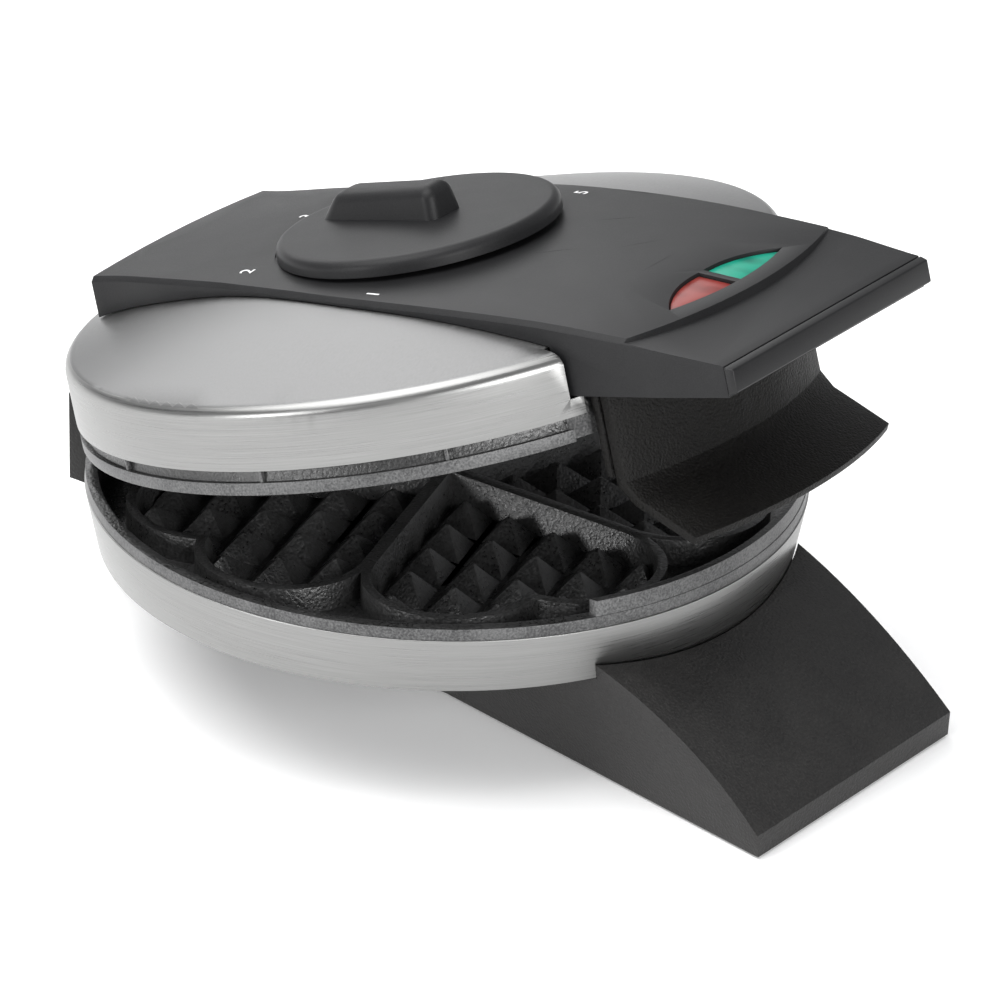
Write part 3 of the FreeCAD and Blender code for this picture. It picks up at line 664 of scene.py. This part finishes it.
@dataclass
class Lid:
    """Steel cover, upper plate, bridge with handle, grip, lamps and hinge arm."""

    rib_count: int = 12
    rib_radius_mm: float = 98.6
    rib_low_mm: float = 60.6
    rib_high_mm: float = 64.6
    rib_width_mm: float = 1.1
    rib_depth_mm: float = 1.6
    rib_start: float = 0.35     # where the first rib stands, in steps between ribs
    guard_half_angle: float = math.radians(32.0)    # no ribs stand over the lower plate's raised rim
    parts: list[SoftenedPart] = field(default_factory=lambda: [
        SoftenedPart("upper_plate", Body.LID, NONSTICK, 0.4, 2, 24.0, 30.0, SCOURED_RIM, on_rim),
        SoftenedPart("lid_shell", Body.LID, LID_STEEL, 0.2, 2, 30.0, 32.0, DOME_STEEL, on_dome),
        SoftenedPart("bridge_cover", Body.LID, SATIN, 0.45, 3, 24.0),
        SoftenedPart("handle_end_cap", Body.LID, SATIN_CAP, 0.4, 3),
        SoftenedPart("handle_underside", Body.LID, GRAINED, 0.3, 2),
        SoftenedPart("lid_grip", Body.LID, GRIP_NYLON, 0.6, 3, 26.0),
        SoftenedPart("grip_heat_shield", Body.LID, GRIP_NYLON, 0.4, 2),
        SoftenedPart("hinge_arm", Body.LID, COATED_ARM, 0.6, 3),
        SoftenedPart("red_lens", Body.LID, RED_LAMP, 0.2, 2),
        SoftenedPart("green_lens", Body.LID, GREEN_LAMP, 0.2, 2),
    ])

    def build(self) -> None:
        """Builds every part of the lid."""
        for part in self.parts:
            part.build()
        self.build_ribs()

    def build_ribs(self) -> None:
        """Makes the spacers between the plate's rim and the steel cover, one block copied round."""
        height = self.rib_high_mm - self.rib_low_mm
        deselect()
        bpy.ops.mesh.primitive_cube_add(size=1)
        block = bpy.context.object
        edit(block)
        bpy.ops.mesh.select_all(action="SELECT")
        bpy.ops.transform.resize(value=(self.rib_depth_mm * MM, self.rib_width_mm * MM, height * MM))
        bpy.ops.mesh.bevel(offset=0.2 * MM, segments=2)
        deselect()
        spot = Vector((self.rib_radius_mm * MM, 0, (self.rib_low_mm + height / 2) * MM))
        settle(block, Matrix.Translation(spot))
        ribs = []
        for index in range(self.rib_count):
            angle = 2 * math.pi * (index + self.rib_start) / self.rib_count
            if abs(angle - 1.5 * math.pi) < self.guard_half_angle:
                continue
            rib = bpy.data.objects.new("rib", block.data.copy())
            bpy.context.scene.collection.objects.link(rib)
            settle(rib, Matrix.Rotation(angle, 4, "Z"))
            ribs.append(rib)
        bpy.data.objects.remove(block)
        ring = join(ribs)
        settle(ring, TO_LID)
        smooth(ring)
        finish_piece(ring, "lid_spacer_ribs", Body.LID, SCOURED_RIM)


@dataclass
class Dial:
    """White numbers printed round the knob, upright for the user."""

    radius_mm: float = 48.2
    centre_y_mm: float = -3.6
    height_mm: float = 4.3
    angles: tuple[float, ...] = (203.0, 135.0, 80.0, 25.0, -30.0)
    capital_share: float = 0.72     # a digit's height as a share of the font's size
    film_mm: float = 0.02
    lift_mm: float = 0.04

    def build(self) -> None:
        """Sets each digit on the bridge's surface."""
        digits = [self.digit(str(i + 1), angle) for i, angle in enumerate(self.angles)]
        printed = join(digits)
        finish_piece(printed, "dial_numbers", Body.LID, INK)

    def digit(self, text: str, angle: float) -> bpy.types.Object:
        """Makes one digit and lays it on the bridge.

        Args:
            text: The digit.
            angle: Its place round the knob, in degrees.

        Returns:
            The digit's mesh object.
        """
        deselect()
        bpy.ops.object.text_add()
        piece = bpy.context.object
        piece.data.body = text
        piece.data.size = self.height_mm * MM / self.capital_share
        piece.data.align_x = "CENTER"
        piece.data.align_y = "CENTER"
        piece.data.extrude = self.film_mm * MM
        piece.data.offset = 0.05 * MM
        piece.data.resolution_u = 6
        bpy.ops.object.convert(target="MESH")
        piece = bpy.context.object
        turn = math.radians(angle)
        spot = Vector((self.radius_mm * math.cos(turn), self.centre_y_mm + self.radius_mm * math.sin(turn), 0)) * MM
        point, normal = self.surface(spot)
        tilt = Vector((0, 0, 1)).rotation_difference(normal).to_matrix().to_4x4()
        settle(piece, TO_LID @ Matrix.Translation(point + normal * self.lift_mm * MM) @ tilt)
        return piece

    def surface(self, spot: Vector) -> tuple[Vector, Vector]:
        """Finds the bridge's top above a spot, in the closed lid's place.

        Args:
            spot: Place on the closed lid.

        Returns:
            The point on the surface and its normal.
        """
        mesh = frame["nodes"]["bridge_cover"].data
        cover = BVHTree.FromPolygons([v.co for v in mesh.vertices], [tuple(f.vertices) for f in mesh.polygons])
        start = TO_LID @ Vector((spot.x, spot.y, 0.2))
        down = TO_LID.to_3x3() @ Vector((0, 0, -1))
        point, normal, _, _ = cover.ray_cast(start, down)
        if point is None:
            raise RuntimeError("a dial number lies off the bridge")
        back = TO_LID.inverted()
        return back @ point, (back.to_3x3() @ normal).normalized()


@dataclass
class Knob:
    """Browning knob: a thin round disc with a blunt bar grip that points at the numbers."""

    centre_y_mm: float = -3.6
    low_mm: float = 97.4
    high_mm: float = 102.0
    radius_mm: float = 39.7
    bar_back_mm: float = 26.0
    bar_front_mm: float = -15.4
    bar_top_mm: float = 111.2
    bar_width_mm: float = 13.6
    bar_sink_mm: float = 0.4                        # how far the bar's block starts below the disc's top
    bar_lift_mm: float = 0.75                       # how far the finished bar is raised on the disc's hill
    bar_taper: tuple[float, float] = (0.8, 0.95)    # top against foot, across and along
    bar_round_mm: float = 3.5
    nose_back_mm: float = 4.6                       # how far the nose's top leans back
    nose_drop_mm: float = 1.9
    rim_round_mm: float = 2.7
    hill_mm: tuple[tuple[float, float], ...] = ((2.5, 0.12), (5.0, 0.22), (8.0, 0.26), (7.0, 0.2), (6.0, 0.1))
    flare_mm: tuple[tuple[float, float], ...] = ((0.35, 0.105), (0.5, 0.066), (0.6, 0.024))

    def build(self) -> None:
        """Joins the disc and the bar into one piece that replaces the plain knob."""
        disc = self.disc()
        bar = self.bar()
        knob = join([disc, bar])
        settle(knob, TO_LID)
        smooth(knob, 40.0)
        finish_piece(knob, "browning_knob", Body.KNOB, SATIN)
        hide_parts("knob")

    def disc(self) -> bpy.types.Object:
        """Makes the disc: rounded rim, slightly domed top and a soft hill round the bar."""
        deselect()
        depth = (self.high_mm - self.low_mm) * MM
        middle = Vector((0, self.centre_y_mm * MM, self.low_mm * MM + depth / 2))
        bpy.ops.mesh.primitive_cylinder_add(vertices=160, radius=self.radius_mm * MM, depth=depth, location=middle)
        disc = bpy.context.object
        settle(disc, Matrix.Identity(4))
        edit(disc)
        pick_edges(disc, lambda e: all(v.co.z > middle.z for v in e.verts) and len(e.link_faces) == 2
                   and max(f.normal.z for f in e.link_faces) > 0.9)
        bpy.ops.mesh.bevel(offset=self.rim_round_mm * MM, segments=8, profile=0.5)
        pick_faces(disc, lambda f: f.normal.z > 0.9 and len(f.verts) > 20)
        for thickness, lift in self.hill_mm:
            bpy.ops.mesh.inset(thickness=thickness * MM)
            bpy.ops.transform.translate(value=(0, 0, lift * MM))
        deselect()
        return disc

    def bar(self) -> bpy.types.Object:
        """Makes the bar: tapered block with a sloping nose, a flared foot and rounded edges."""
        deselect()
        bpy.ops.mesh.primitive_cube_add(size=1)
        bar = bpy.context.object
        low = self.high_mm - self.bar_sink_mm
        length = self.bar_back_mm - self.bar_front_mm
        height = self.bar_top_mm - low
        size = Matrix.Diagonal((self.bar_width_mm * MM, length * MM, height * MM, 1))
        spot = Vector((0, (self.bar_back_mm + self.bar_front_mm) / 2, low + height / 2)) * MM
        settle(bar, Matrix.Translation(spot) @ size)
        edit(bar)
        top = self.bar_top_mm * MM
        pick_faces(bar, lambda f: f.normal.z > 0.9)
        bpy.ops.transform.resize(value=(*self.bar_taper, 1), center_override=(0, spot.y, top))
        pick_edges(bar, lambda e: all(v.co.z > top - 0.1 * MM and v.co.y > spot.y for v in e.verts))
        bpy.ops.transform.translate(value=(0, -self.nose_back_mm * MM, -self.nose_drop_mm * MM))
        pick_edges(bar, lambda e: not all(v.co.z < (low + 0.1) * MM for v in e.verts))
        bpy.ops.mesh.bevel(offset=self.bar_round_mm * MM, segments=10, profile=0.5)
        pick_faces(bar, lambda f: f.normal.z < -0.9)
        bpy.ops.mesh.delete(type="FACE")
        edit(bar, "EDGE")
        bpy.ops.mesh.select_non_manifold()
        for grow, drop in self.flare_mm:
            bpy.ops.mesh.extrude_edges_move()
            bpy.ops.transform.resize(value=(1 + 2 * grow / self.bar_width_mm, 1 + 2 * grow / length, 1),
                                     center_override=(0, spot.y, low * MM))
            bpy.ops.transform.translate(value=(0, 0, -drop * MM))
        bpy.ops.mesh.fill()
        bpy.ops.mesh.select_all(action="SELECT")
        bpy.ops.transform.translate(value=(0, 0, self.bar_lift_mm * MM))
        bpy.ops.mesh.normals_make_consistent(inside=False)
        deselect()
        return bar


def dress_cad_nodes() -> None:
    """Gives the carried-over CAD nodes their finishes."""
    for node, finish in CAD_FINISH.items():
        piece = frame["nodes"][node]
        piece.data.materials.clear()
        piece.data.materials.append(finish.material())


# ---------------------------------------------------------------- studio
@dataclass(frozen=True)
class Panel:
    """A soft square light: its name, its place and width in metres, and its power in watts."""

    name: str
    place: tuple[float, float, float]
    width: float
    power: float


@dataclass(frozen=True)
class Board:
    """A dark board beside the object: its name, its middle and its width, in metres."""

    name: str
    place: tuple[float, float, float]
    width: float


@dataclass
class Studio:
    """Pale floor, soft lights and the camera."""

    eye_mm: tuple[float, float, float] = (-1515.5, -1156.7, 994.4)
    azimuth: float = -53.09
    pitch: float = 26.45
    roll: float = 0.99
    lens_mm: float = 277.3
    aim: tuple[float, float, float] = (0.0, 0.0, 0.06)
    air_strength: float = 0.42
    floor_width: float = 16.0
    floor_glow: float = 0.15    # lifts the paper to white
    board_tall: float = 2.2     # a board's height as a share of its width
    panels: tuple[Panel, ...] = (
        Panel("key", (-0.5, 0.3, 1.5), 1.5, 30.0),
        Panel("front", (-0.75, -1.6, 0.62), 0.8, 20.0),
        Panel("back", (0.7, 1.3, 1.1), 1.5, 15.0),
        Panel("left", (-1.7, 0.5, 0.45), 0.45, 9.0),
    )
    boards: tuple[Board, ...] = (
        Board("left_board", (-1.15, -0.15, 0.5), 0.34),
        Board("front_board", (0.15, -1.25, 0.5), 0.3),
    )

    def build(self) -> None:
        """Builds the floor, the lights, the surroundings and the camera."""
        self.floor()
        self.surroundings()
        for panel in self.panels:
            self.hang(panel)
        for board in self.boards:
            self.stand(board)
        self.camera()

    def floor(self) -> None:
        """Lays a large sheet of white paper."""
        deselect()
        bpy.ops.mesh.primitive_plane_add(size=self.floor_width, location=(0, 0, 0))
        floor = bpy.context.object
        floor.name = "studio_floor"
        paper = Moulded("studio_paper", "pale_plastic", tone="F6F6F6", light="FAFAFA", grain_mm=2.0,
                        relief_mm=0.01, strength=0.05, roughness=0.8)
        sheet = paper.material()
        shader = next(node for node in sheet.node_tree.nodes if node.type == "BSDF_PRINCIPLED")
        shader.inputs["Emission Color"].default_value = colour("FFFFFF")
        shader.inputs["Emission Strength"].default_value = self.floor_glow
        floor.data.materials.append(sheet)

    def stand(self, board: Board) -> None:
        """Stands a dark board beside the object, to draw a soft dark bar down the steel.

        Args:
            board: The board.
        """
        deselect()
        bpy.ops.mesh.primitive_cube_add(size=1)
        piece = bpy.context.object
        piece.name = board.name
        face = Vector((-board.place[0], -board.place[1], 0)).to_track_quat("Y", "Z").to_matrix().to_4x4()
        size = Matrix.Diagonal((board.width, 0.01, board.width * self.board_tall, 1))
        settle(piece, Matrix.Translation(board.place) @ face @ size)
        piece.data.materials.append(GRAINED.material())

    def surroundings(self) -> None:
        """Fills the studio with even white light, and shows colours without a film curve."""
        world = bpy.data.worlds.new("studio_air")
        world.use_nodes = True
        background = world.node_tree.nodes["Background"]
        background.inputs["Color"].default_value = colour("F7F8FA")
        background.inputs["Strength"].default_value = self.air_strength
        bpy.context.scene.world = world
        bpy.context.scene.view_settings.view_transform = "Standard"

    def hang(self, panel: Panel) -> None:
        """Hangs one soft panel that faces the object.

        Args:
            panel: The panel.
        """
        data = bpy.data.lights.new(panel.name + "_panel", "AREA")
        data.shape = "SQUARE"
        data.size = panel.width
        data.energy = panel.power
        lamp = bpy.data.objects.new(panel.name + "_panel", data)
        bpy.context.scene.collection.objects.link(lamp)
        lamp.location = panel.place
        lamp.rotation_euler = (Vector(self.aim) - Vector(panel.place)).to_track_quat("-Z", "Y").to_euler()

    def camera(self) -> None:
        """Sets up the camera from its place, heading, downward pitch and roll."""
        heading, down, lean = (math.radians(v) for v in (self.azimuth, self.pitch, self.roll))
        forward = Vector((-math.sin(heading) * math.cos(down), math.cos(heading) * math.cos(down), -math.sin(down)))
        right = Vector((math.cos(heading), math.sin(heading), 0))
        up = right.cross(forward)
        right, up = (right * math.cos(lean) + up * math.sin(lean), up * math.cos(lean) - right * math.sin(lean))
        data = bpy.data.cameras.new("camera")
        data.lens = self.lens_mm
        data.sensor_width = 36.0
        data.clip_end = 50.0
        camera = bpy.data.objects.new("camera", data)
        bpy.context.scene.collection.objects.link(camera)
        turn = Matrix((right, up, -forward)).transposed().to_4x4()
        camera.matrix_world = Matrix.Translation(Vector(self.eye_mm) * MM + AXIS) @ turn
        bpy.context.scene.camera = camera


def main() -> None:
    """Builds the whole scene in order."""
    logging.basicConfig(level=logging.INFO, format="%(name)s %(message)s")
    dress_cad_nodes()
    for assembly in (Base(), Lid(), Dial(), Knob(), Studio()):
        assembly.build()
        LOG.info("%s done", type(assembly).__name__)


if __name__ == "__main__":
    main()
